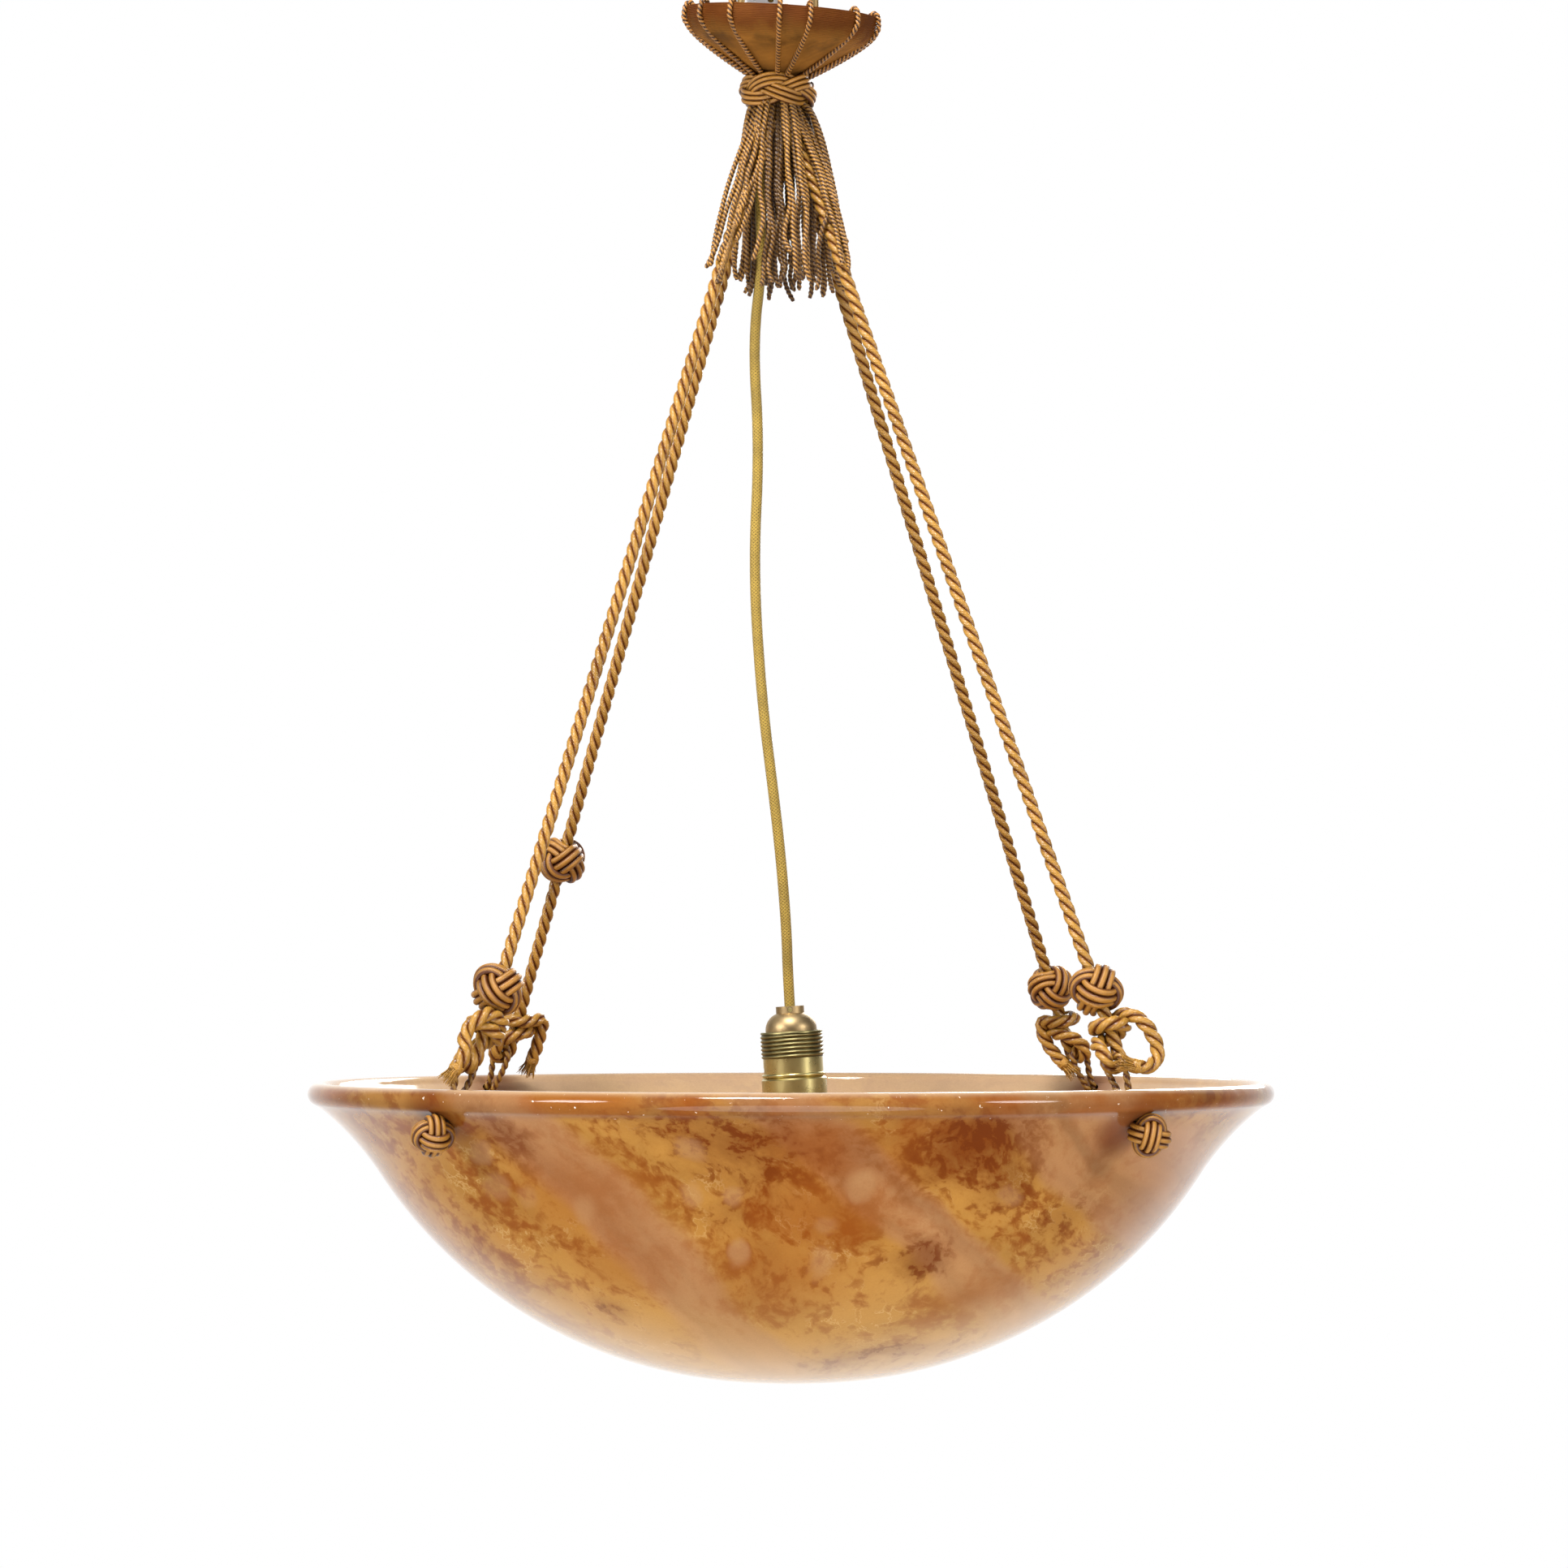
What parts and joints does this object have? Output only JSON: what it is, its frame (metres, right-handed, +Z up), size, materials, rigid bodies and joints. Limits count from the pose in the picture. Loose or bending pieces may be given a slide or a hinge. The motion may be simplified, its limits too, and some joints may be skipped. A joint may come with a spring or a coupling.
{
  "type": "pendant ceiling light",
  "caption": "Alabaster bowl pendant hung on twisted silk ropes with sliding ball knots, a tasselled collar, a silk canopy and a brass screw lampholder.",
  "frame": {"origin": "centre of the round head of the hanging link, where the ceiling hook goes through", "axes": "+Z up, +X to the right seen from the front, +Y to the back; the tall way is Z"},
  "size_m": [0.6, 0.6, 0.898],
  "materials": {
    "alabaster": "polished honey and amber veined alabaster",
    "block_plastic": "off-white moulding",
    "bush_plastic": "dark moulding",
    "canopy_silk": "ribbed brown silk",
    "cord_silk": "two-ply twisted silk cord, dark gold",
    "core_plastic": "insulated wire",
    "cup_board": "pressed board",
    "flex_cloth": "olive gold textile braid",
    "holder_brass": "aged brass with dark patina",
    "knot_silk": "smooth pale gold silk cord",
    "link_iron": "blackened iron wire",
    "porcelain": "white porcelain",
    "rope_silk": "three-strand twisted silk rope, brown gold",
    "sling_silk": "thin twisted silk cord, brown gold",
    "terminal_brass": "plain brass"
  },
  "bodies": {
    "link": {"hanging_link": "link_iron"},
    "pendant": {"rope_crowns": "rope_silk", "canopy_cup": "cup_board", "canopy_cover": "canopy_silk", "canopy_cords": "cord_silk", "tassel": "cord_silk", "collar_knot": "knot_silk", "bowl": "alabaster", "flex": "flex_cloth", "terminal_block": "block_plastic", "block_screws": "terminal_brass", "holder_cap": "holder_brass", "grip_screw": "terminal_brass", "cord_bush": "bush_plastic", "holder_sleeve": "holder_brass", "holder_mantle": "holder_brass", "insulator": "porcelain", "screw_shell": "terminal_brass", "centre_contact": "terminal_brass", "terminal_screws": "terminal_brass", "flex_cores": "core_plastic", "rope_front_left": "rope_silk", "sling_front_left": "sling_silk", "stopper_front_left": "knot_silk", "rope_front_right": "rope_silk", "sling_front_right": "sling_silk", "stopper_front_right": "knot_silk", "rope_back_left": "rope_silk", "sling_back_left": "sling_silk", "stopper_back_left": "knot_silk", "rope_back_right": "rope_silk", "sling_back_right": "sling_silk", "stopper_back_right": "knot_silk"},
    "slider_front_left": {"slider_front_left": "knot_silk"},
    "slider_front_right": {"slider_front_right": "knot_silk"},
    "slider_back_left": {"slider_back_left": "knot_silk"},
    "slider_back_right": {"slider_back_right": "knot_silk"}
  },
  "joints": [
    {"name": "pendant_swing", "type": "hinge", "parent": "link", "child": "pendant", "pos_m": [0, 0, -0.022], "axis": [1, 0, 0], "range_deg": [-10, 10]},
    {"name": "knot_slide_front_left", "type": "slide", "parent": "pendant", "child": "slider_front_left", "axis": [0.2664, 0.2927, 0.9183], "range_m": [0, 0.39]},
    {"name": "knot_slide_front_right", "type": "slide", "parent": "pendant", "child": "slider_front_right", "axis": [-0.3026, 0.2764, 0.9122], "range_m": [0, 0.39]},
    {"name": "knot_slide_back_left", "type": "slide", "parent": "pendant", "child": "slider_back_left", "axis": [0.2664, -0.2927, 0.9183], "range_m": [-0.09, 0.3]},
    {"name": "knot_slide_back_right", "type": "slide", "parent": "pendant", "child": "slider_back_right", "axis": [-0.2883, -0.2908, 0.9123], "range_m": [0, 0.39]}
  ]
}
